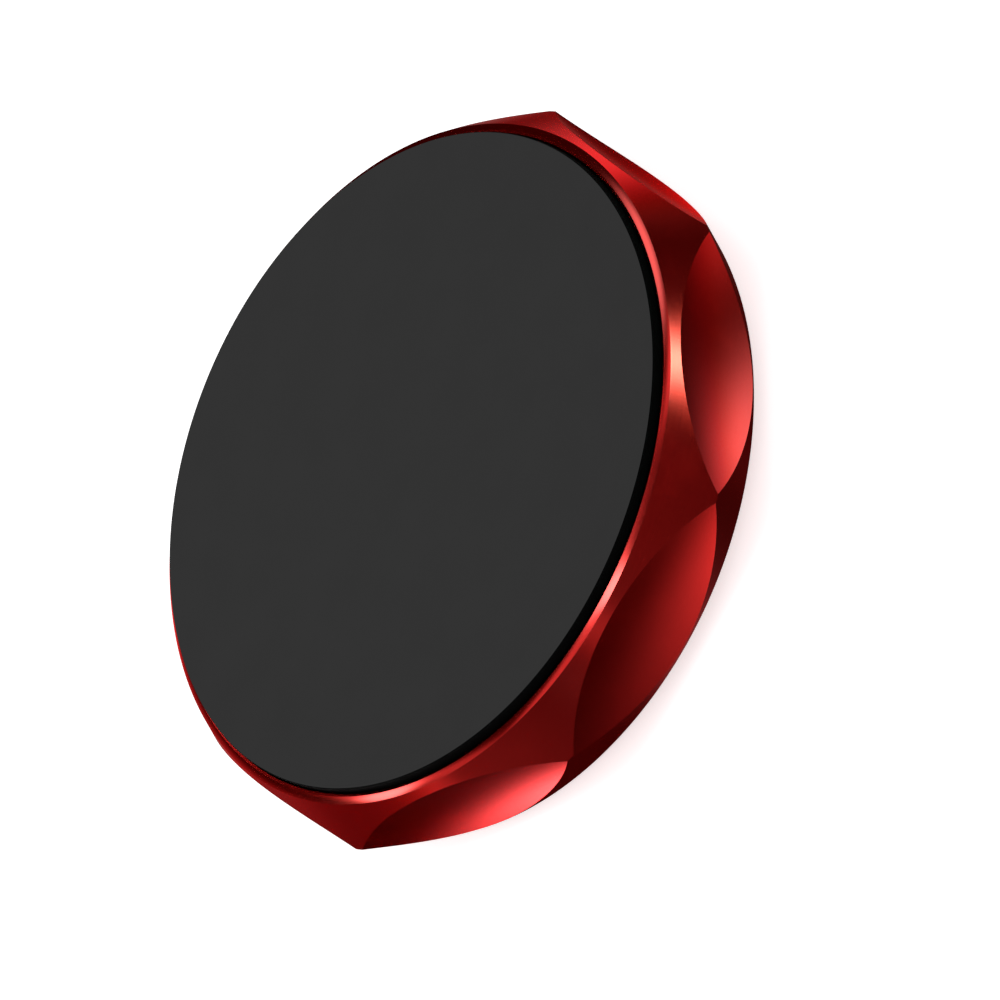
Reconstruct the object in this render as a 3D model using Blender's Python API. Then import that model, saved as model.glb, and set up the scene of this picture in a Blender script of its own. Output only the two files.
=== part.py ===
"""Round magnetic phone holder: a milled aluminium cup with magnets behind a rubber pad.

Sizes are in metres and +Z points out of the front pad. The origin is the middle of
the sticky back face, so the holder lies on its back as it does on a dashboard.
"""
import math

import bmesh
import bpy
from mathutils import Matrix, Vector

MM = 0.001

# Shell, outside
WIDEST_RADIUS = 20.25 * MM       # the edge where the front cone meets the back cone
FRONT_CONE_INSET = 1.65 * MM     # how far the cone's front end lies inside the widest edge
BACK_CONE_INSET = 1.68 * MM      # the same for its back end
BACK_CONE_HEIGHT = 3.37 * MM     # back face up to the widest edge
BACK_EDGE_CHAMFER = 0.15 * MM
LIP_WIDTH = 0.52 * MM            # rounded lip between the pad's recess and the front cone
LIP_DROP = 0.13 * MM             # how far the lip falls from its inner to its outer edge
LIP_TURN = math.radians(30)      # how much the lip's rounding turns over its width
LIP_MOUTH_CHAMFER = 0.04 * MM

# Shell, inside
FLOOR_THICKNESS = 1.20 * MM
LEDGE_WIDTH = 1.28 * MM          # step that carries the rim of the pad
PAD_GAP = 0.12 * MM              # dark joint between the pad and the lip
DROP_IN_CLEARANCE = 0.20 * MM    # round the discs that drop into the cup

# Facets milled into the widest edge
FACET_COUNT = 8
FACET_DEPTH = 1.75 * MM          # deepest point below the widest edge
FACET_DROP = 0.72 * MM           # how far the cut's middle lies behind the widest edge
FACET_SWEEP_RADIUS = 100.0 * MM  # hollow along the rim
FACET_CROWN_RADIUS = 14.5 * MM   # hollow from front to back
CUTTER_HALF_HEIGHT = 4.4 * MM
CUTTER_HALF_SWEEP = math.radians(5.6)
CUTTER_BACK = 4.0 * MM           # cutter's body behind its deepest point

# Stack inside the cup, and on its back
FOAM_THICKNESS = 1.00 * MM
FOAM_INSET = 1.60 * MM           # foam disc's edge inside the shell's back edge
YOKE_THICKNESS = 0.80 * MM
MAGNET_THICKNESS = 3.00 * MM
MAGNET_COUNT = 6
MAGNET_CHAMFER = 0.20 * MM
MAGNET_CLEARANCE = 0.10 * MM
CARRIER_RIM = 1.00 * MM          # carrier's wall outside the pockets
CARRIER_WEB = 0.95 * MM          # carrier's wall between two pockets
CARRIER_SKIN = 0.60 * MM         # carrier's wall in front of the magnets
FILM_THICKNESS = 0.20 * MM
PAD_THICKNESS = 1.20 * MM
PAD_PROUD = 0.53 * MM            # how far the pad stands out of the lip
PAD_EDGE_RADIUS = 0.10 * MM

# Fineness of the round forms
SHELL_SIDES = 16 * FACET_COUNT
DISC_SIDES = 96
MAGNET_SIDES = 32
SWEEP_STEPS = 20
CROWN_STEPS = 10
LIP_STEPS = 5
PAD_EDGE_STEPS = 3
MERGE_DISTANCE = 1e-7

# Heights, from the surface that the holder is stuck to
SHELL_BACK = FOAM_THICKNESS
FLOOR_TOP = SHELL_BACK + FLOOR_THICKNESS
YOKE_TOP = FLOOR_TOP + YOKE_THICKNESS
MAGNET_TOP = YOKE_TOP + MAGNET_THICKNESS
CARRIER_TOP = MAGNET_TOP + CARRIER_SKIN
LEDGE_TOP = CARRIER_TOP + FILM_THICKNESS
PAD_TOP = LEDGE_TOP + PAD_THICKNESS
LIP_TOP = PAD_TOP - PAD_PROUD
WIDEST_HEIGHT = SHELL_BACK + BACK_CONE_HEIGHT
FACET_HEIGHT = WIDEST_HEIGHT - FACET_DROP

# Radii, from the widest edge inwards
CONE_FRONT_RADIUS = WIDEST_RADIUS - FRONT_CONE_INSET
BACK_RADIUS = WIDEST_RADIUS - BACK_CONE_INSET
RECESS_RADIUS = CONE_FRONT_RADIUS - LIP_WIDTH
PAD_RADIUS = RECESS_RADIUS - PAD_GAP
CUP_RADIUS = RECESS_RADIUS - LEDGE_WIDTH
INSERT_RADIUS = CUP_RADIUS - DROP_IN_CLEARANCE
FOAM_RADIUS = BACK_RADIUS - FOAM_INSET
FACET_FLOOR = WIDEST_RADIUS - FACET_DEPTH

# The pockets are as large as the carrier's walls leave room for
HALF_PITCH_SINE = math.sin(math.pi / MAGNET_COUNT)
POCKET_RADIUS = ((INSERT_RADIUS - CARRIER_RIM) * HALF_PITCH_SINE - CARRIER_WEB / 2) / (1 + HALF_PITCH_SINE)
POCKET_RING_RADIUS = INSERT_RADIUS - CARRIER_RIM - POCKET_RADIUS
MAGNET_RADIUS = POCKET_RADIUS - MAGNET_CLEARANCE


def clear_scene():
    for thing in list(bpy.data.objects):
        bpy.data.objects.remove(thing, do_unlink=True)


def make_material(name, color, roughness, metallic=0.0):
    material = bpy.data.materials.new(name)
    material.use_nodes = True
    shader = material.node_tree.nodes["Principled BSDF"]
    shader.inputs["Base Color"].default_value = (*color, 1.0)
    shader.inputs["Roughness"].default_value = roughness
    shader.inputs["Metallic"].default_value = metallic
    return material


def place(name, mesh, material, parent, location=(0.0, 0.0, 0.0)):
    """Link a mesh to the scene as a named piece of the holder."""
    if not mesh.materials:
        mesh.materials.append(material)
    piece = bpy.data.objects.new(name, mesh)
    bpy.context.collection.objects.link(piece)
    piece.location = location
    piece.parent = parent
    return piece


def finished_mesh(name, bm, sharp_angle=math.radians(24)):
    """Close a bmesh up, point its faces outwards and shade its round sides smooth."""
    bmesh.ops.remove_doubles(bm, verts=bm.verts, dist=MERGE_DISTANCE)
    bmesh.ops.recalc_face_normals(bm, faces=bm.faces)
    mesh = bpy.data.meshes.new(name)
    bm.to_mesh(mesh)
    bm.free()
    mesh.shade_smooth()
    mesh.set_sharp_from_angle(angle=sharp_angle)
    return mesh


def arc(start, end, turn, steps):
    """Points after start, up to end, on an arc that bulges to the left of the way along it."""
    start = Vector(start)
    end = Vector(end)
    chord = end - start
    left = Vector((-chord.y, chord.x)) / chord.length
    radius = chord.length / (2 * math.sin(turn / 2))
    centre = (start + end) / 2 - left * radius * math.cos(turn / 2)
    spoke = start - centre
    return [centre + Matrix.Rotation(-turn * step / steps, 2) @ spoke for step in range(1, steps + 1)]


def turned_mesh(name, profile, sides):
    """Turn a profile of (radius, height) points about Z. It starts and ends on the axis."""
    bm = bmesh.new()
    ring = [bm.verts.new((radius, 0.0, height)) for radius, height in profile]
    edges = [bm.edges.new(pair) for pair in zip(ring, ring[1:])]
    bmesh.ops.spin(bm, geom=ring + edges, cent=(0, 0, 0), axis=(0, 0, 1), angle=math.tau, steps=sides)
    return finished_mesh(name, bm)


def disc_profile(radius, bottom, top, chamfer=0.0):
    """A flat disc's section, with both of its edges broken by a chamfer if one is given."""
    if chamfer == 0.0:
        return [(0.0, bottom), (radius, bottom), (radius, top), (0.0, top)]
    return [
        (0.0, bottom),
        (radius - chamfer, bottom),
        (radius, bottom + chamfer),
        (radius, top - chamfer),
        (radius - chamfer, top),
        (0.0, top),
    ]


def add_cut(piece, cutter):
    cutter.hide_render = True
    cutter.display_type = "WIRE"
    cut = piece.modifiers.new(cutter.name, "BOOLEAN")
    cut.operation = "DIFFERENCE"
    cut.solver = "EXACT"
    cut.object = cutter


def shell_profile():
    """The cup's section, from the middle of its back round the outside and in to the floor."""
    lip_inner = (RECESS_RADIUS + LIP_MOUTH_CHAMFER, LIP_TOP)
    lip_outer = (CONE_FRONT_RADIUS, LIP_TOP - LIP_DROP)
    rounding = arc(lip_inner, lip_outer, LIP_TURN, LIP_STEPS)
    outside = [
        (0.0, SHELL_BACK),
        (BACK_RADIUS - BACK_EDGE_CHAMFER, SHELL_BACK),
        (BACK_RADIUS, SHELL_BACK + BACK_EDGE_CHAMFER),
        (WIDEST_RADIUS, WIDEST_HEIGHT),
    ]
    lip = [tuple(point) for point in reversed(rounding)] + [lip_inner]
    inside = [
        (RECESS_RADIUS, LIP_TOP - LIP_MOUTH_CHAMFER),
        (RECESS_RADIUS, LEDGE_TOP),
        (CUP_RADIUS, LEDGE_TOP),
        (CUP_RADIUS, FLOOR_TOP),
        (0.0, FLOOR_TOP),
    ]
    return outside + lip + inside


def facet_cutter_mesh():
    """A slice of a large wheel with a round crown, whose axis stands beside the shell."""
    crown_centre = FACET_FLOOR + FACET_CROWN_RADIUS
    crown_angle = math.asin(CUTTER_HALF_HEIGHT / FACET_CROWN_RADIUS)
    bm = bmesh.new()
    section = []
    for step in range(CROWN_STEPS + 1):
        angle = crown_angle * (2 * step / CROWN_STEPS - 1)
        reach = crown_centre - FACET_CROWN_RADIUS * math.cos(angle)
        section.append(bm.verts.new((reach, 0.0, FACET_HEIGHT + FACET_CROWN_RADIUS * math.sin(angle))))
    back = FACET_FLOOR + CUTTER_BACK
    section.append(bm.verts.new((back, 0.0, FACET_HEIGHT + CUTTER_HALF_HEIGHT)))
    section.append(bm.verts.new((back, 0.0, FACET_HEIGHT - CUTTER_HALF_HEIGHT)))
    face = bm.faces.new(section)
    hub = (FACET_FLOOR + FACET_SWEEP_RADIUS, 0.0, 0.0)
    start = Matrix.Rotation(-CUTTER_HALF_SWEEP, 3, "Z")
    bmesh.ops.rotate(bm, cent=hub, matrix=start, verts=section)
    sweep = 2 * CUTTER_HALF_SWEEP
    bmesh.ops.spin(bm, geom=[face], cent=hub, axis=(0, 0, 1), angle=sweep, steps=SWEEP_STEPS)
    return finished_mesh("facet_cutter", bm)


def make_shell(material, parent):
    shell = place("shell", turned_mesh("shell", shell_profile(), SHELL_SIDES), material, parent)
    cutter_mesh = facet_cutter_mesh()
    for number in range(FACET_COUNT):
        cutter = place(f"facet_cutter_{number + 1}", cutter_mesh, material, parent)
        cutter.rotation_euler.z = math.tau * (number + 0.5) / FACET_COUNT
        add_cut(shell, cutter)
    return shell


def make_front_pad(material, parent):
    edge_start = (PAD_RADIUS, PAD_TOP - PAD_EDGE_RADIUS)
    edge_end = (PAD_RADIUS - PAD_EDGE_RADIUS, PAD_TOP)
    edge = [tuple(point) for point in reversed(arc(edge_end, edge_start, math.pi / 2, PAD_EDGE_STEPS))]
    profile = [(0.0, LEDGE_TOP), (PAD_RADIUS, LEDGE_TOP)] + edge + [edge_end, (0.0, PAD_TOP)]
    return place("front_pad", turned_mesh("front_pad", profile, DISC_SIDES), material, parent)


def make_disc(name, radius, bottom, top, material, parent):
    profile = disc_profile(radius, bottom, top)
    return place(name, turned_mesh(name, profile, DISC_SIDES), material, parent)


def pocket_places():
    for number in range(MAGNET_COUNT):
        angle = math.tau * number / MAGNET_COUNT
        yield number + 1, POCKET_RING_RADIUS * math.cos(angle), POCKET_RING_RADIUS * math.sin(angle)


def make_carrier(material, parent):
    """A moulded disc whose round pockets open towards the yoke plate."""
    carrier = make_disc("magnet_carrier", INSERT_RADIUS, YOKE_TOP, CARRIER_TOP, material, parent)
    overrun = YOKE_TOP - YOKE_THICKNESS / 2
    pocket = turned_mesh("pocket", disc_profile(POCKET_RADIUS, overrun, MAGNET_TOP), MAGNET_SIDES)
    for number, x, y in pocket_places():
        add_cut(carrier, place(f"pocket_{number}", pocket, material, parent, (x, y, 0.0)))
    return carrier


def make_magnets(material, parent):
    profile = disc_profile(MAGNET_RADIUS, YOKE_TOP, MAGNET_TOP, MAGNET_CHAMFER)
    mesh = turned_mesh("magnet", profile, MAGNET_SIDES)
    for number, x, y in pocket_places():
        place(f"magnet_{number}", mesh, material, parent, (x, y, 0.0))


def main():
    clear_scene()
    holder = bpy.data.objects.new("holder", None)
    bpy.context.collection.objects.link(holder)

    anodised = make_material("anodised_red", (0.42, 0.010, 0.012), 0.22, metallic=1.0)
    rubber = make_material("black_rubber", (0.032, 0.032, 0.032), 0.80)
    film = make_material("clear_adhesive", (0.60, 0.58, 0.52), 0.45)
    moulded = make_material("black_plastic", (0.020, 0.020, 0.021), 0.50)
    nickel = make_material("nickel_plating", (0.66, 0.65, 0.62), 0.18, metallic=1.0)
    steel = make_material("zinc_plated_steel", (0.52, 0.53, 0.55), 0.35, metallic=1.0)
    foam = make_material("adhesive_foam", (0.045, 0.045, 0.047), 0.90)

    make_disc("foam_pad", FOAM_RADIUS, 0.0, SHELL_BACK, foam, holder)
    make_shell(anodised, holder)
    make_disc("yoke_plate", INSERT_RADIUS, FLOOR_TOP, YOKE_TOP, steel, holder)
    make_carrier(moulded, holder)
    make_magnets(nickel, holder)
    make_disc("pad_film", INSERT_RADIUS, CARRIER_TOP, LEDGE_TOP, film, holder)
    make_front_pad(rubber, holder)


main()
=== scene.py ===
"""Looks of the round magnetic phone holder: its finishes, floor, light tent and camera."""
import math

import bmesh
import bpy
from mathutils import Matrix, Quaternion, Vector


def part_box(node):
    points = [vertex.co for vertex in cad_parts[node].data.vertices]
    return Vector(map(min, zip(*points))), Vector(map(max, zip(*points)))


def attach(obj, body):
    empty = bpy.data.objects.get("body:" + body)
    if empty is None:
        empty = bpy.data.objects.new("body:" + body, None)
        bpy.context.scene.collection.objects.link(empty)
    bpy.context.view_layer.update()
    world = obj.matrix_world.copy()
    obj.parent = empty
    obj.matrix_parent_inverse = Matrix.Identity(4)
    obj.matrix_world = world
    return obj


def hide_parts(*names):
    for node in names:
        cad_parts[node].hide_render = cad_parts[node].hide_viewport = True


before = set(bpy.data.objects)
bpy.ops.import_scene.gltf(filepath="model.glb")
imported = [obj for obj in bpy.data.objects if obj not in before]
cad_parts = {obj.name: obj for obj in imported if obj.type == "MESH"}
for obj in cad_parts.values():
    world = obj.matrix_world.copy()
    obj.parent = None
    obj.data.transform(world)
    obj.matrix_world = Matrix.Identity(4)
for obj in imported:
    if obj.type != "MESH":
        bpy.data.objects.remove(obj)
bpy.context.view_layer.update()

MM = 0.001
MICRON = 0.000001

# Sizes that the frame gives
shell_low, shell_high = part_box("shell")
pad_low, pad_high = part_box("front_pad")
foam_low, foam_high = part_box("foam_pad")
insert_low, insert_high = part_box("yoke_plate")

WIDEST_RADIUS = shell_high.x
SHELL_BACK = shell_low.z
LIP_TOP = shell_high.z
LEDGE_TOP = pad_low.z
PAD_TOP = pad_high.z
PAD_RADIUS = pad_high.x
FOAM_RADIUS = foam_high.x
FOAM_TOP = foam_high.z
FOAM_BACK = foam_low.z
CUP_RADIUS = insert_high.x + 0.20 * MM
CUP_FLOOR = insert_low.z
MAGNET_COUNT = 6

# Sizes that the shell's form needs besides
CONE_FRONT_RADIUS = WIDEST_RADIUS - 1.65 * MM
BACK_RADIUS = WIDEST_RADIUS - 1.68 * MM
BACK_CHAMFER = 0.15 * MM
WIDEST_HEIGHT = SHELL_BACK + 3.37 * MM
RECESS_RADIUS = PAD_RADIUS + 0.10 * MM
LIP_MOUTH_RADIUS = PAD_RADIUS + 0.12 * MM
LIP_MOUTH_DEPTH = 0.03 * MM
LIP_CREST_RADIUS = PAD_RADIUS + 0.26 * MM
LIP_CREST_RISE = 0.009 * MM
LIP_DROP = 0.13 * MM
LIP_TURN = math.radians(8)
LIP_STEPS = 6
SHELL_SIDES = 512
SHELL_SMOOTH = math.radians(14)

# The facets, and the wheel that mills them: its rim is a crown, and its hub is far beside the shell
FACET_COUNT = 8
FACET_FLOOR = WIDEST_RADIUS - 1.75 * MM
FACET_HEIGHT = WIDEST_HEIGHT - 0.72 * MM
FACET_SWEEP = 100.0 * MM
FACET_CROWN = 14.5 * MM
WHEEL_HUB = FACET_FLOOR + FACET_SWEEP
CUTTER_HALF_TURN = math.radians(5.6)
CUTTER_STEPS = 84
CROWN_SIDES = 360

# The pad's and the foam's cut edges
PAD_SIDES = 512
PAD_EDGE = 0.10 * MM
PAD_EDGE_STEPS = 6
PAD_SMOOTH = math.radians(30)
PAD_FACE_UP = 0.8
FOAM_SIDES = 256
FOAM_EDGE = 0.06 * MM
FOAM_WAIST = 0.08 * MM
FOAM_SMOOTH = math.radians(50)

MERGE_DISTANCE = 1e-7
SLACK = 1e-6

# Finishes of the shell's faces, and of the pad's, by their place in the piece's list. The bore's
# finish and the pad's cut-edge finish carry painted shade, coloured nearly black.
TURNED, MILLED, BORE_PAINTED_SHADE = range(3)
PAD_FACE, PAD_CUT_PAINTED_SHADE = range(2)

# Camera, set by the pad's outline, the facet corners and the back rim in the photograph
CAMERA_AZIMUTH = math.radians(-11.8)
CAMERA_ELEVATION = math.radians(39.85)
CAMERA_ROLL = math.radians(-67.68)
CAMERA_DISTANCE = 0.7403
CAMERA_LENS = 510.2
CAMERA_NEAR = 0.01
CAMERA_FAR = 20
SENSOR_WIDTH = 36.0
IMAGE_SIDE = 1000
PAD_CENTRE_PIXEL = (407.1, 458.6)

# Floor, tent and lamp, in metres and watts
FLOOR_SIZE = 4
FLOOR_GLOW = 0.6
TENT_RADIUS = 2.5
TENT_SUBDIVISIONS = 6
LAMP_POWER = 0.8
LAMP_SIZE = 0.5
LAMP_PLACE = (-0.35, 0.25, 0.65)

# What a matt surface gets from all round, and what the metal gets from between the panels
PLAIN_LEVEL = 0.88
STUDIO_DARK = 0.060

# Soft panels of the tent, by the colour of their light. Each has its direction (azimuth and
# elevation), its turn, its half width and its half height, all in degrees, its strength, and how
# crisp its edge is: 1 fades from the middle, 2 is a flatter panel. The last 14 white ones are
# seen from the sides that the photograph doesn't show. The red ones and DARK_RED, the colour
# between the panels, are light that the metal has reddened already.
WHITE = (1.0, 1.0, 1.0, 1.0)
COOL_WHITE = (0.35, 1.0, 1.0, 1.0)
WARM_WHITE = (0.3, 1.0, 0.76, 1.0)
FLOOR_RED = (1.0, 0.14, 0.12, 1.0)
DARK_RED = (1.0, 0.3, 0.25, 1.0)
PANELS = {
    WHITE: (
        (-59.6, 21.3, -8.4, 42.6, 2.5, 3.24, 1),
        (-133.2, 24.6, 52.6, 4.4, 11.8, 1.53, 1),
        (-170.1, 0.7, 8.8, 45.8, 7.2, 0.63, 1),
        (22.0, -9.7, -30.5, 20.0, 2.5, 2.39, 1),
        (131.0, 5.1, -55.5, 7.3, 43.5, 5.55, 1),
        (-45.9, -37.2, -69.0, 25.7, 3.2, 2.08, 1),
        (-144.5, -28.2, 60.6, 17.8, 10.7, 10.75, 1),
        (151.5, -22.2, 52.1, 13.7, 3.2, 40.45, 1),
        (136.7, 70.8, -42.4, 21.8, 5.9, 1.35, 2),
        (2.5, 58.6, 52.0, 18.7, 5.7, 2.25, 2),
        (37.3, 79.6, -36.6, 3.9, 60.0, 0.31, 2),
        (111.8, 11.0, -56.1, 14.0, 58.0, 0.77, 2),
        (120.5, 51.5, 40.1, 15.7, 4.7, 1.05, 2),
        (99.9, 38.6, 43.0, 7.2, 2.6, 1.24, 2),
        (67.7, 54.5, -61.9, 10.4, 2.5, 17.86, 2),
        (117.2, 79.6, 6.1, 5.4, 2.5, 0.99, 2),
        (-124.0, 59.0, 0.0, 18.0, 18.0, 0.99, 2),
        (-67.0, 51.0, 0.0, 18.0, 18.0, 1.12, 2),
        (180.0, 45.0, 0.0, 18.0, 18.0, 0.87, 2),
        (-13.0, 34.0, 0.0, 18.0, 18.0, 1.12, 2),
        (-83.0, -16.0, 0.0, 18.0, 18.0, 0.93, 2),
        (-163.0, -21.0, 0.0, 18.0, 18.0, 0.99, 2),
        (150.0, 30.0, 0.0, 13.0, 13.0, 0.99, 2),
        (22.0, 19.0, 0.0, 13.0, 13.0, 1.36, 2),
        (85.0, -3.0, 0.0, 13.0, 13.0, 1.24, 2),
        (4.0, -30.0, 0.0, 13.0, 13.0, 1.12, 2),
        (-79.0, -46.0, 0.0, 13.0, 13.0, 0.87, 2),
        (-172.0, -50.0, 0.0, 13.0, 13.0, 0.87, 2),
        (44.0, 7.0, 0.0, 9.0, 9.0, 0.99, 2),
        (-129.0, 0.0, 0.0, 9.0, 9.0, 0.87, 2),
    ),
    COOL_WHITE: (
        (-33.3, -31.1, -63.2, 15.9, 2.5, 8.70, 1),
        (148.2, -33.8, 38.2, 10.2, 2.5, 15.80, 1),
        (116.6, 44.8, -15.8, 6.7, 4.0, 24.26, 2),
        (122.1, 83.6, 42.9, 21.4, 2.5, 24.97, 2),
        (38.9, 51.4, 11.2, 7.1, 8.4, 7.45, 2),
        (3.7, 3.3, -19.3, 5.9, 2.5, 7.99, 1),
        (-154.0, -48.0, -14.5, 6.2, 32.2, 6.77, 1),
    ),
    WARM_WHITE: (
        (-44.4, 11.6, -73.5, 3.5, 13.6, 40.45, 1),
    ),
    FLOOR_RED: (
        (47.0, -30.7, -29.3, 9.8, 2.5, 27.16, 1),
        (89.0, -30.0, 0.0, 13.0, 13.0, 0.30, 2),
    ),
}
PANEL_DEPTH = 0.5
FLAT_PANEL = 2


def deselect():
    bpy.ops.object.select_all(action="DESELECT")


def activate(piece):
    deselect()
    piece.select_set(True)
    bpy.context.view_layer.objects.active = piece


def apply_modifier(piece, kind, **settings):
    activate(piece)
    modifier = piece.modifiers.new(kind.lower(), kind)
    for name, value in settings.items():
        setattr(modifier, name, value)
    bpy.ops.object.modifier_apply(modifier=modifier.name)


def smooth(piece, angle):
    activate(piece)
    bpy.ops.object.shade_smooth_by_angle(angle=angle)


def give(piece, materials):
    for material in materials:
        piece.data.materials.append(material)


def close_up():
    """Merges what meets in the mesh that is being edited, turns its faces outwards, and ends."""
    bpy.ops.mesh.select_all(action="SELECT")
    bpy.ops.mesh.remove_doubles(threshold=MERGE_DISTANCE)
    bpy.ops.mesh.normals_make_consistent(inside=False)
    bpy.ops.object.mode_set(mode="OBJECT")


def arc(start, end, turn, steps):
    """Points from start to end on an arc that bulges to the left of the way along it."""
    start = Vector(start)
    end = Vector(end)
    chord = end - start
    left = Vector((-chord.y, chord.x)) / chord.length
    radius = chord.length / (2 * math.sin(turn / 2))
    centre = (start + end) / 2 - left * radius * math.cos(turn / 2)
    heading = math.atan2(*reversed(start - centre))
    points = []
    for step in range(steps + 1):
        angle = heading - turn * step / steps
        points.append((centre.x + radius * math.cos(angle), centre.y + radius * math.sin(angle)))
    return points


def turn_up(name, stations, sides):
    """A turned body: a round face that is extruded from one (radius, height) to the next."""
    deselect()
    radius, height = stations[0]
    bpy.ops.mesh.primitive_circle_add(
        vertices=sides, radius=radius, fill_type="NGON", location=(0, 0, height)
    )
    piece = bpy.context.object
    piece.name = name
    bpy.ops.object.transform_apply(location=True, rotation=True, scale=True)
    bpy.ops.object.mode_set(mode="EDIT")
    for (r0, z0), (r1, z1) in zip(stations, stations[1:]):
        bpy.ops.mesh.extrude_region_move(TRANSFORM_OT_translate={"value": (0, 0, z1 - z0)})
        bpy.ops.transform.resize(value=(r1 / r0, r1 / r0, 1), center_override=(0, 0, z1))
    close_up()
    return piece


def make_facet_cutter(metals):
    """A slice of the wheel that mills one facet, with its hub beside the shell."""
    deselect()
    crown_centre = FACET_FLOOR + FACET_CROWN
    bpy.ops.mesh.primitive_circle_add(
        vertices=CROWN_SIDES,
        radius=FACET_CROWN,
        fill_type="NOTHING",
        location=(crown_centre, 0, FACET_HEIGHT),
        rotation=(math.pi / 2, 0, 0),
    )
    cutter = bpy.context.object
    cutter.name = "facet_cutter"
    give(cutter, metals)
    bpy.ops.object.transform_apply(location=True, rotation=True, scale=True)
    bpy.ops.object.mode_set(mode="EDIT")
    bm = bmesh.from_edit_mesh(cutter.data)
    for vert in bm.verts:
        vert.select_set(vert.co.x > crown_centre + SLACK)
    bm.select_flush_mode()
    bmesh.update_edit_mesh(cutter.data)
    bpy.ops.mesh.delete(type="VERT")
    bpy.ops.mesh.select_all(action="SELECT")
    bpy.ops.mesh.edge_face_add()
    hub = (WHEEL_HUB, 0, FACET_HEIGHT)
    bpy.ops.mesh.spin(steps=CUTTER_STEPS, angle=2 * CUTTER_HALF_TURN, center=hub, axis=(0, 0, 1))
    close_up()
    for face in cutter.data.polygons:
        face.material_index = MILLED
    return cutter


def mill_facets(shell, cutter):
    hub = Vector((WHEEL_HUB, 0, 0))
    centre_it = Quaternion((0, 0, 1), CUTTER_HALF_TURN)
    cutter.rotation_mode = "QUATERNION"
    for number in range(FACET_COUNT):
        place = Quaternion((0, 0, 1), math.tau * (number + 0.5) / FACET_COUNT)
        cutter.rotation_quaternion = place @ centre_it
        cutter.location = place @ (hub - centre_it @ hub)
        bpy.context.view_layer.update()
        apply_modifier(shell, "BOOLEAN", operation="DIFFERENCE", solver="EXACT", object=cutter)
    bpy.data.objects.remove(cutter)


def make_shell(metals):
    """The cup: two cones and a lip, turned, then bored for the pad and milled."""
    lip_mouth = (LIP_MOUTH_RADIUS, LIP_TOP - LIP_CREST_RISE)
    lip_outer = (CONE_FRONT_RADIUS, LIP_TOP - LIP_DROP)
    lip = [(RECESS_RADIUS, LIP_TOP - LIP_MOUTH_DEPTH), lip_mouth]
    lip += arc((LIP_CREST_RADIUS, LIP_TOP), lip_outer, LIP_TURN, LIP_STEPS)
    stations = [
        (BACK_RADIUS - BACK_CHAMFER, SHELL_BACK),
        (BACK_RADIUS, SHELL_BACK + BACK_CHAMFER),
        (WIDEST_RADIUS, WIDEST_HEIGHT),
    ]
    stations += list(reversed(lip))
    stations += [
        (RECESS_RADIUS, LEDGE_TOP),
        (CUP_RADIUS, LEDGE_TOP),
        (CUP_RADIUS, CUP_FLOOR),
    ]
    shell = turn_up("shell_finish", stations, SHELL_SIDES)
    give(shell, metals)
    for face in shell.data.polygons:
        # Faces inside the lip's mouth get the bore's finish, coloured nearly black as painted shade
        inside = face.center.z > CUP_FLOOR - SLACK
        if inside and face.center.xy.length < LIP_MOUTH_RADIUS - SLACK:
            face.material_index = BORE_PAINTED_SHADE
    mill_facets(shell, make_facet_cutter(metals))
    smooth(shell, SHELL_SMOOTH)
    return shell


def make_front_pad(rubbers):
    """The rubber disc, with its cut edge lightly rounded. Its edge has the second finish, with
    painted shade.
    """
    edge_start = (PAD_RADIUS - PAD_EDGE, PAD_TOP)
    edge_end = (PAD_RADIUS, PAD_TOP - PAD_EDGE)
    edge = list(reversed(arc(edge_start, edge_end, math.pi / 2, PAD_EDGE_STEPS)))
    pad = turn_up("pad_finish", [(PAD_RADIUS, LEDGE_TOP)] + edge, PAD_SIDES)
    give(pad, rubbers)
    # The upward face keeps the rubber's colour; the rest of the edge gets the near-black painted
    # shade
    for face in pad.data.polygons:
        face.material_index = PAD_FACE if face.normal.z > PAD_FACE_UP else PAD_CUT_PAINTED_SHADE
    smooth(pad, PAD_SMOOTH)
    return pad


def make_foam_pad(foam):
    """The die-cut foam disc, whose side draws in a little between its two skins."""
    waist = FOAM_RADIUS - FOAM_WAIST
    middle = (FOAM_TOP + FOAM_BACK) / 2
    side = [(FOAM_RADIUS - FOAM_EDGE, FOAM_BACK), (FOAM_RADIUS, FOAM_BACK + FOAM_EDGE)]
    side += [(waist, middle - FOAM_EDGE), (waist, middle + FOAM_EDGE)]
    side += [(FOAM_RADIUS, FOAM_TOP - FOAM_EDGE), (FOAM_RADIUS - FOAM_EDGE, FOAM_TOP)]
    pad = turn_up("foam_finish", side, FOAM_SIDES)
    smooth(pad, FOAM_SMOOTH)
    give(pad, [foam])
    return pad


def make_camera():
    """The photograph's view, with the pad's centre on its pixel there."""
    data = bpy.data.cameras.new("camera")
    camera = bpy.data.objects.new("camera", data)
    bpy.context.scene.collection.objects.link(camera)
    data.lens = CAMERA_LENS
    data.sensor_width = SENSOR_WIDTH
    pad_centre = Vector((0, 0, PAD_TOP))
    a, e = CAMERA_AZIMUTH, CAMERA_ELEVATION
    back = Vector((math.sin(a) * math.cos(e), -math.cos(a) * math.cos(e), math.sin(e)))
    camera.location = pad_centre + back * CAMERA_DISTANCE
    turn = (-back).to_track_quat("-Z", "Y") @ Quaternion((0, 0, 1), CAMERA_ROLL)
    scale = CAMERA_DISTANCE * SENSOR_WIDTH / (CAMERA_LENS * IMAGE_SIDE)
    across = (IMAGE_SIDE / 2 - PAD_CENTRE_PIXEL[0]) * scale
    up = (PAD_CENTRE_PIXEL[1] - IMAGE_SIDE / 2) * scale
    target = pad_centre + turn @ Vector((across, up, 0))
    tilt = back.rotation_difference(camera.location - target)
    camera.rotation_mode = "QUATERNION"
    camera.rotation_quaternion = tilt @ turn
    data.clip_start = CAMERA_NEAR
    data.clip_end = CAMERA_FAR
    bpy.context.scene.camera = camera


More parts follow.
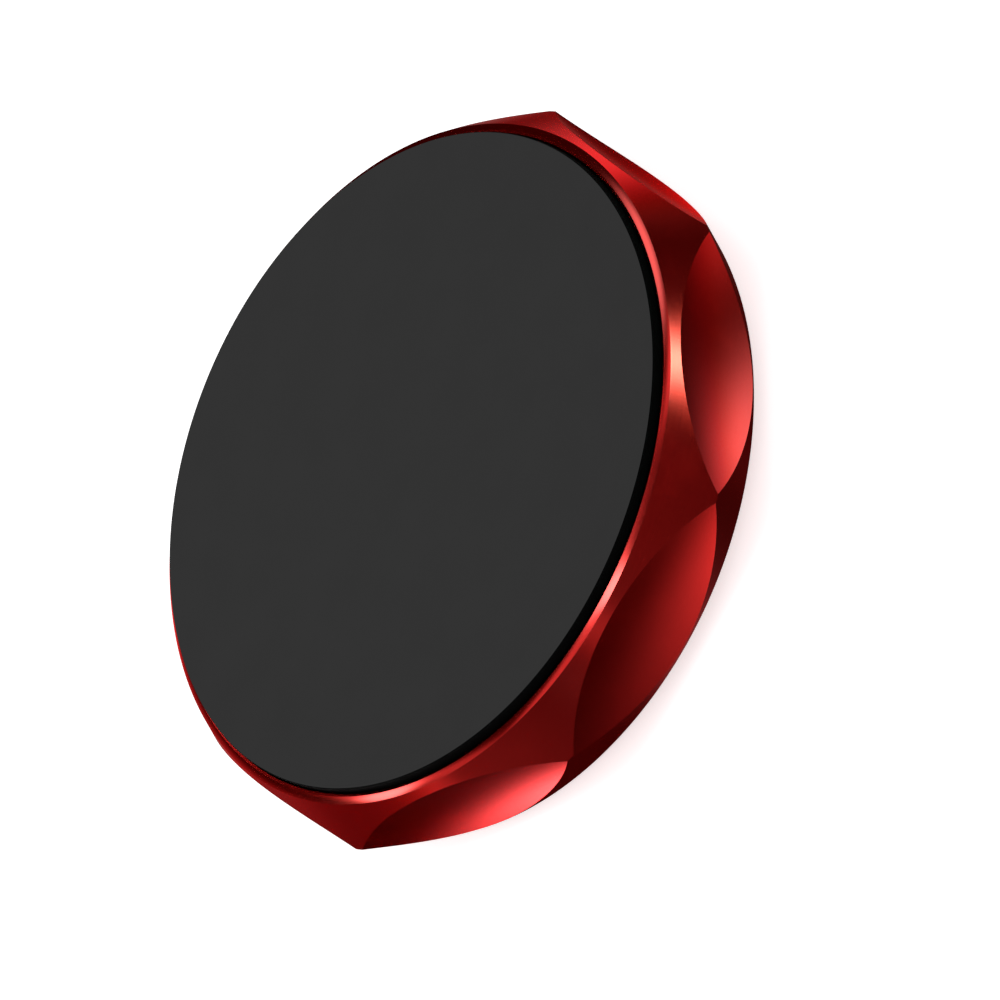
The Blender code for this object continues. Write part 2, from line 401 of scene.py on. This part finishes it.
class Value:
    """One output of a node. Arithmetic on it adds Math nodes."""

    def __init__(self, finish, socket):
        self.finish = finish
        self.socket = socket

    def math(self, operation, *others):
        return self.finish.calculate(operation, self, *others)

    def __add__(self, other):
        return self.math("ADD", other)

    def __radd__(self, other):
        return self.finish.calculate("ADD", other, self)

    def __sub__(self, other):
        return self.math("SUBTRACT", other)

    def __rsub__(self, other):
        return self.finish.calculate("SUBTRACT", other, self)

    def __mul__(self, other):
        return self.math("MULTIPLY", other)

    def __rpow__(self, other):
        return self.finish.calculate("POWER", other, self)

    def beside(self, name):
        """Another output of the same node."""
        return Value(self.finish, self.socket.node.outputs[name])


class Finish:
    """The node tree of one material, or of the studio's world."""

    def __init__(self, tree):
        self.tree = tree

    def add(self, kind, settings, sockets, output=0):
        """A node of this kind: its settings first, then its sockets' values or links."""
        node = self.tree.nodes.new(kind)
        for name, value in settings.items():
            setattr(node, name, value)
        for name, value in sockets.items():
            self.fill(node.inputs[name], value)
        return Value(self, node.outputs[output])

    def fill(self, socket, value):
        if isinstance(value, Value):
            self.tree.links.new(value.socket, socket)
        else:
            socket.default_value = value

    def end_in(self, node, value):
        """Links what has been made to the output node of the tree."""
        self.fill(self.tree.nodes[node].inputs["Surface"], value)

    def coat(self, sockets):
        """Fills these sockets of the material's own shader, and gives the shader."""
        shader = self.tree.nodes["Principled BSDF"]
        for name, value in sockets.items():
            self.fill(shader.inputs[name], value)
        return Value(self, shader.outputs[0])

    def calculate(self, operation, *terms):
        return self.add("ShaderNodeMath", {"operation": operation}, dict(enumerate(terms)))

    def place(self, stretch=(1, 1, 1)):
        """Where a point is on the piece, in millimetres."""
        point = self.add("ShaderNodeTexCoord", {}, {}, "Object")
        scale = [part / MM for part in stretch]
        return self.add("ShaderNodeMapping", {}, {"Vector": point, "Scale": scale})

    def split(self, point):
        """A point's x, y and z."""
        x = self.add("ShaderNodeSeparateXYZ", {}, {"Vector": point})
        return x, x.beside("Y"), x.beside("Z")

    def noise(self, point, scale, detail=2.0, dimensions="3D"):
        """Soft noise about 0.5, with so many features to the millimetre."""
        where = "W" if dimensions == "1D" else "Vector"
        settings = {"noise_dimensions": dimensions}
        sockets = {where: point, "Scale": scale, "Detail": detail}
        return self.add("ShaderNodeTexNoise", settings, sockets)

    def cells(self, point, scale):
        """How far a point is from the middle of its cell, with so many cells to the millimetre."""
        return self.add("ShaderNodeTexVoronoi", {}, {"Vector": point, "Scale": scale})

    def ease(self, value, low, high):
        """0 below low, 1 above high, and a soft step between them."""
        settings = {"interpolation_type": "SMOOTHSTEP"}
        sockets = {"Value": value, "From Min": low, "From Max": high}
        return self.add("ShaderNodeMapRange", settings, sockets)

    def blend(self, share, first, second):
        """One colour going over to another, as share goes from 0 to 1."""
        settings = {"data_type": "RGBA"}
        return self.add("ShaderNodeMix", settings, {0: share, 6: first, 7: second}, output=2)

    def relief(self, height, depth, under=None):
        """Bumps of this depth in metres, over those that are there already."""
        sockets = {"Height": height, "Distance": depth}
        if under is not None:
            sockets["Normal"] = under
        return self.add("ShaderNodeBump", {}, sockets)


def new_finish(name):
    material = bpy.data.materials.new(name)
    material.use_nodes = True
    return material, Finish(material.node_tree)


def shade(red, green, blue):
    return (red, green, blue, 1.0)


def grey(level):
    return shade(level, level, level)


def in_mm(length):
    return length / MM


def length_of(first, second):
    return (first * first + second * second).math("SQRT")


def cut_places(finish, x, y, z, radius):
    """How far a point stands clear of the nearest facet's cut, and how far below the two cones."""
    turns = finish.calculate("ARCTAN2", y, x) * (FACET_COUNT / math.tau)
    from_centre = (turns.math("FRACT") - 0.5) * (math.tau / FACET_COUNT)
    out = radius * from_centre.math("COSINE")
    across = radius * from_centre.math("SINE")
    from_hub = length_of(in_mm(WHEEL_HUB) - out, across) - in_mm(FACET_SWEEP - FACET_CROWN)
    clear = length_of(from_hub, z - in_mm(FACET_HEIGHT)) - in_mm(FACET_CROWN)
    front_slope = (WIDEST_RADIUS - CONE_FRONT_RADIUS) / (LIP_TOP - LIP_DROP - WIDEST_HEIGHT)
    back_slope = (WIDEST_RADIUS - BACK_RADIUS) / (WIDEST_HEIGHT - SHELL_BACK - BACK_CHAMFER)
    over_rim = z - in_mm(WIDEST_HEIGHT)
    front = in_mm(WIDEST_RADIUS) - over_rim * front_slope
    back = in_mm(WIDEST_RADIUS) + over_rim * back_slope
    return clear, front.math("MINIMUM", back) - radius


def anodised(name, milled):
    """Bright red dye in the aluminium's oxide, over turning rings or the mill's fine lines.

    Edges are worn a little paler and smoother. Their widths are in millimetres.
    """
    material, finish = new_finish(name)
    point = finish.place()
    x, y, z = finish.split(point)
    radius = length_of(x, y)
    clear, below = cut_places(finish, x, y, z, radius)
    if milled:
        lines = finish.noise(z, 9.0, 3.0, "1D")
        line_depth = 0.22 * MICRON
        edge = 1 - finish.ease(below, 0.004, 0.02)
    else:
        lines = finish.noise(radius + z * 1.7, 13.0, 3.0, "1D")
        line_depth = 0.28 * MICRON
        past_lip = radius - in_mm(CONE_FRONT_RADIUS)
        by_lip = 1 - finish.ease(past_lip.math("ABSOLUTE"), 0.01, 0.04)
        by_facet = 1 - finish.ease(clear, 0.002, 0.012)
        edge = by_facet.math("MAXIMUM", by_lip * 0.6)
    grain = finish.noise(point, 22.0)
    dye = finish.noise(point, 0.22, 3.0)
    handled = finish.ease(finish.noise(point, 0.5, 4.0), 0.45, 0.75)
    deep = shade(0.398, 0.0108, 0.0090)
    light = shade(0.445, 0.0132, 0.0110)
    worn = shade(0.56, 0.03, 0.025)
    red = finish.blend(dye * 0.7 + lines * 0.3, deep, light)
    finish.coat(
        {
            "Base Color": finish.blend(edge * 0.3, red, worn),
            "Metallic": 1.0,
            "Roughness": 0.105 + lines * 0.03 + grain * 0.03 + handled * 0.018 - edge * 0.02,
            "Specular Tint": shade(1.0, 0.0, 0.0),
            "Anisotropic": 0.25 if milled else 0.4,
            "Anisotropic Rotation": 0.25,
            "Coat Weight": 0.12,
            "Coat Roughness": 0.08,
            "Normal": finish.relief(grain, 0.12 * MICRON, finish.relief(lines, line_depth)),
        },
    )
    return material


def bore_with_painted_shade():
    """The bore round the pad: matt over rough turning, dark red with painted shade, nearly black
    where the pad shades it.
    """
    material, finish = new_finish("bore_red_painted_shade")
    _, _, height = finish.split(finish.place())
    lines = finish.noise(height, 13.0, 3.0, "1D")
    finish.coat(
        {
            "Base Color": finish.blend(
                lines, shade(0.008, 0.0004, 0.0004), shade(0.014, 0.0006, 0.0006)
            ),
            "Roughness": 0.6 + lines * 0.15,
            "Specular IOR Level": 0.0,
            "Normal": finish.relief(lines, 0.6 * MICRON),
        },
    )
    return material


def pad_rubber():
    """Matt black rubber with a very fine pebble on its face."""
    material, finish = new_finish("front_pad_rubber")
    point = finish.place()
    pebble = finish.cells(point, 6.5)
    fine = finish.noise(point, 17.0, 3.0)
    cloud = finish.noise(point, 0.35, 3.0)
    normal = finish.relief(1 - pebble, 5.0 * MICRON)
    finish.coat(
        {
            "Base Color": finish.blend(cloud * 0.6 + fine * 0.4, grey(0.0307), grey(0.0359)),
            "Roughness": 0.74 + fine * 0.12,
            "Specular IOR Level": 0.0,
            "Normal": finish.relief(fine, 2.5 * MICRON, normal),
        },
    )
    return material


def cut_edge_painted_shade():
    """The pad's die-cut edge, with the knife's fine upright marks, coloured nearly black as painted
    shade, far blacker than its face.
    """
    material, finish = new_finish("front_pad_cut_edge_painted_shade")
    marks = finish.noise(finish.place((1.0, 1.0, 0.08)), 11.0, 3.0)
    finish.coat(
        {
            "Base Color": finish.blend(marks, grey(0.0006), grey(0.0014)),
            "Roughness": 0.7 + marks * 0.2,
            "Specular IOR Level": 0.015,
            "Normal": finish.relief(marks, 2.0 * MICRON),
        },
    )
    return material


def closed_cell_foam():
    """Closed-cell foam: open cut cells round the side, their hollows painted darker as shade, and a
    tacky skin on both faces.
    """
    material, finish = new_finish("back_foam")
    point = finish.place()
    x, y, _ = finish.split(point)
    rim = in_mm(FOAM_RADIUS)
    side = finish.ease(length_of(x, y), rim - 0.2, rim - 0.12)
    walls = finish.cells(point, 4.2) * 0.65 + finish.cells(point, 9.5) * 0.35
    walls = finish.ease(walls, 0.12, 0.5)
    skin = finish.noise(point, 1.6, 4.0)
    wrinkle = finish.noise(finish.place((1.0, 0.25, 1.0)), 2.4, 3.0)
    face = finish.blend(skin, shade(0.030, 0.030, 0.032), shade(0.048, 0.048, 0.050))
    # Painted shade: the cut cells are coloured darker in their hollows, where the relief is lowest
    cut = finish.blend(walls, shade(0.012, 0.012, 0.013), shade(0.060, 0.060, 0.063))
    height = side * walls * 4.0 + (1 - side) * (skin * 0.2 + wrinkle * 0.25)
    finish.coat(
        {
            "Base Color": finish.blend(side, face, cut),
            "Roughness": 0.36 + side * 0.5 + skin * 0.12,
            "Normal": finish.relief(height, 12.0 * MICRON),
        },
    )
    return material


def clear_adhesive():
    """Transfer adhesive on a thin tissue, whose fibres and trapped bubbles show."""
    material, finish = new_finish("pad_film_adhesive")
    fibres = finish.noise(finish.place((0.25, 3.0, 1.0)), 2.2, 4.0)
    crossed = finish.noise(finish.place((3.0, 0.25, 1.0)), 2.2, 4.0)
    tissue = finish.ease(fibres.math("MAXIMUM", crossed), 0.5, 0.72)
    bubble = 1 - finish.ease(finish.cells(finish.place(), 0.8), 0.08, 0.2)
    colour = finish.blend(tissue, shade(0.54, 0.52, 0.46), shade(0.66, 0.64, 0.58))
    finish.coat(
        {
            "Base Color": finish.blend(bubble * 0.5, colour, shade(0.74, 0.73, 0.69)),
            "Roughness": 0.3 + tissue * 0.22,
            "Normal": finish.relief(tissue + bubble * 0.6, 4.0 * MICRON),
        },
    )
    return material


def moulded_plastic():
    """Black moulded plastic, spark-eroded matt, with a paler blush round the gate in the middle."""
    material, finish = new_finish("magnet_carrier_plastic")
    point = finish.place()
    x, y, _ = finish.split(point)
    spark = finish.noise(point, 11.0, 4.0)
    flow = finish.noise(finish.place((0.5, 0.12, 0.5)), 0.9, 3.0)
    blush = 1 - finish.ease(length_of(x, y), 0.6, 2.6)
    colour = finish.blend(flow, shade(0.017, 0.017, 0.018), shade(0.023, 0.023, 0.024))
    finish.coat(
        {
            "Base Color": finish.blend(blush * 0.5, colour, shade(0.034, 0.034, 0.036)),
            "Roughness": 0.46 + spark * 0.16 - blush * 0.05,
            "Normal": finish.relief(spark, 6.0 * MICRON),
        },
    )
    return material


def nickel():
    """Nickel plating on a pressed magnet: tumbled, with small dings and hairlines."""
    material, finish = new_finish("magnet_nickel")
    point = finish.place()
    tumble = finish.noise(point, 2.6, 5.0)
    hairs = finish.noise(finish.place((6.0, 0.3, 1.0)), 1.5, 4.0)
    ding = 1 - finish.ease(finish.cells(point, 1.3), 0.03, 0.16)
    finish.coat(
        {
            "Base Color": finish.blend(tumble, shade(0.62, 0.605, 0.57), shade(0.70, 0.69, 0.665)),
            "Metallic": 1.0,
            "Roughness": 0.13 + tumble * 0.12 + finish.ease(hairs, 0.55, 0.75) * 0.1,
            "Normal": finish.relief(tumble * 0.3 + hairs * 0.1 - ding * 0.4, 3.0 * MICRON),
        },
    )
    return material


def zinc():
    """Zinc-plated sheet: faint rolling lines under the plating, and bluish passivated patches."""
    material, finish = new_finish("yoke_plate_zinc")
    point = finish.place()
    rolled = finish.noise(finish.place((0.15, 9.0, 1.0)), 1.2, 4.0)
    patch = finish.ease(finish.noise(point, 0.3, 4.0), 0.35, 0.65)
    spot = finish.cells(point, 1.1)
    finish.coat(
        {
            "Base Color": finish.blend(patch, shade(0.47, 0.49, 0.53), shade(0.57, 0.56, 0.53)),
            "Metallic": 1.0,
            "Roughness": 0.24 + rolled * 0.14 + spot * 0.06,
            "Normal": finish.relief(rolled + spot * 0.4, 1.5 * MICRON),
        },
    )
    return material


def floor_paper():
    """Pale seamless paper that keeps the shadow. The metal sees the tent through it."""
    material, finish = new_finish("floor_paper")
    ray = finish.add("ShaderNodeLightPath", {}, {}, "Is Camera Ray")
    mirrored = ray.beside("Is Glossy Ray").math("MAXIMUM", ray.beside("Is Transmission Ray"))
    paper = finish.noise(finish.place(), 1.5, 3.0)
    shader = finish.coat(
        {
            "Base Color": finish.blend(paper, grey(0.86), grey(0.88)),
            "Roughness": 0.9,
            "Specular IOR Level": 0.0,
            "Emission Color": finish.blend(ray, grey(0.0), grey(FLOOR_GLOW)),
            "Emission Strength": 1.0,
        },
    )
    gone = finish.add("ShaderNodeBsdfTransparent", {}, {})
    both = finish.add("ShaderNodeMixShader", {}, {0: mirrored, 1: shader, 2: gone})
    finish.end_in("Material Output", both)
    return material


def panel_glow(tent, direction, panel):
    """One soft panel's light in a direction: full at its middle, and fading round it."""
    *angles, strength, crispness = panel
    azimuth, elevation, turn, half_width, half_height = map(math.radians, angles)
    middle = Vector(
        (
            math.cos(elevation) * math.cos(azimuth),
            math.cos(elevation) * math.sin(azimuth),
            math.sin(elevation),
        )
    )
    level = Vector((-math.sin(azimuth), math.cos(azimuth), 0))
    across = math.cos(turn) * level + math.sin(turn) * middle.cross(level)
    facing = Matrix((across, middle.cross(across), middle)).transposed().to_euler()
    size = (math.sin(half_width), math.sin(half_height), PANEL_DEPTH)
    sockets = {"Vector": direction, "Location": middle, "Rotation": facing, "Scale": size}
    local = tent.add("ShaderNodeMapping", {"vector_type": "TEXTURE"}, sockets)
    squared = {"operation": "DOT_PRODUCT"}
    away = tent.add("ShaderNodeVectorMath", squared, {0: local, 1: local}, "Value")
    if crispness == FLAT_PANEL:
        away = away * away
    return (1 / math.e) ** away * strength


def tent_light():
    """Soft panels on a dark tent. After a matt bounce it is plain again, so nothing glitters."""
    material, tent = new_finish("tent_panels")
    point = tent.add("ShaderNodeTexCoord", {}, {}, "Object")
    direction = tent.add("ShaderNodeVectorMath", {"operation": "NORMALIZE"}, {0: point})
    bounces = tent.add("ShaderNodeLightPath", {}, {}, "Diffuse Depth")
    bounced = bounces.math("MINIMUM", 1.0)
    seen = 1 - bounced

    def glow(colour, strength):
        return tent.add("ShaderNodeEmission", {}, {"Color": colour, "Strength": strength})

    def both(first, second):
        return tent.add("ShaderNodeAddShader", {}, {0: first, 1: second})

    light = both(glow(WHITE, bounced * PLAIN_LEVEL), glow(DARK_RED, seen * STUDIO_DARK))
    for colour, (first, *others) in PANELS.items():
        strength = panel_glow(tent, direction, first)
        for panel in others:
            strength = panel_glow(tent, direction, panel) + strength
        light = both(light, glow(colour, strength * seen))
    tent.end_in("Material Output", light)
    material.cycles.emission_sampling = "NONE"
    return material


def make_tent():
    """The light tent round the object, which only the metal's reflections see."""
    deselect()
    bpy.ops.mesh.primitive_ico_sphere_add(subdivisions=TENT_SUBDIVISIONS, radius=TENT_RADIUS)
    tent = bpy.context.object
    tent.name = "light_tent"
    give(tent, [tent_light()])
    tent.visible_camera = False
    tent.visible_diffuse = False
    tent.visible_shadow = False


def make_world():
    """White behind the floor, and a plain level on matt surfaces."""
    world = bpy.data.worlds.new("studio")
    world.use_nodes = True
    bpy.context.scene.world = world
    studio = Finish(world.node_tree)
    ray = studio.add("ShaderNodeLightPath", {}, {}, "Is Camera Ray")
    plain = PLAIN_LEVEL + ray * (1 - PLAIN_LEVEL)
    white = studio.add("ShaderNodeBackground", {}, {"Color": WHITE, "Strength": plain})
    studio.end_in("World Output", white)


def make_key_lamp():
    """A weak soft lamp overhead, for a little shape in the matt pieces and a soft shadow."""
    data = bpy.data.lights.new("key_lamp", "AREA")
    data.energy = LAMP_POWER
    data.size = LAMP_SIZE
    lamp = bpy.data.objects.new("key_lamp", data)
    bpy.context.scene.collection.objects.link(lamp)
    lamp.location = LAMP_PLACE
    lamp.rotation_mode = "QUATERNION"
    lamp.rotation_quaternion = (-Vector(LAMP_PLACE)).to_track_quat("-Z", "Y")
    lamp.visible_camera = False
    lamp.visible_glossy = False


def make_floor():
    deselect()
    bpy.ops.mesh.primitive_plane_add(size=FLOOR_SIZE, location=(0, 0, FOAM_BACK))
    floor = bpy.context.object
    floor.name = "floor"
    give(floor, [floor_paper()])


def finish_piece(piece, node):
    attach(piece, "root")
    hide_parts(node)


def finish_node(name, material):
    """A hidden solid keeps its shape and gets its real finish."""
    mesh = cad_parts[name].data
    mesh.materials.clear()
    mesh.materials.append(material)


def main():
    make_camera()
    turned = anodised("turned_red", milled=False)
    milled = anodised("milled_red", milled=True)
    finish_piece(make_shell((turned, milled, bore_with_painted_shade())), "shell")
    finish_piece(make_front_pad((pad_rubber(), cut_edge_painted_shade())), "front_pad")
    foam_pad = make_foam_pad(closed_cell_foam())
    finish_piece(foam_pad, "foam_pad")
    finish_node("pad_film", clear_adhesive())
    finish_node("magnet_carrier", moulded_plastic())
    finish_node("yoke_plate", zinc())
    plating = nickel()
    for number in range(1, MAGNET_COUNT + 1):
        finish_node(f"magnet_{number}", plating)
    make_floor()
    make_tent()
    make_world()
    make_key_lamp()
    bpy.context.scene.view_settings.view_transform = "Standard"


main()
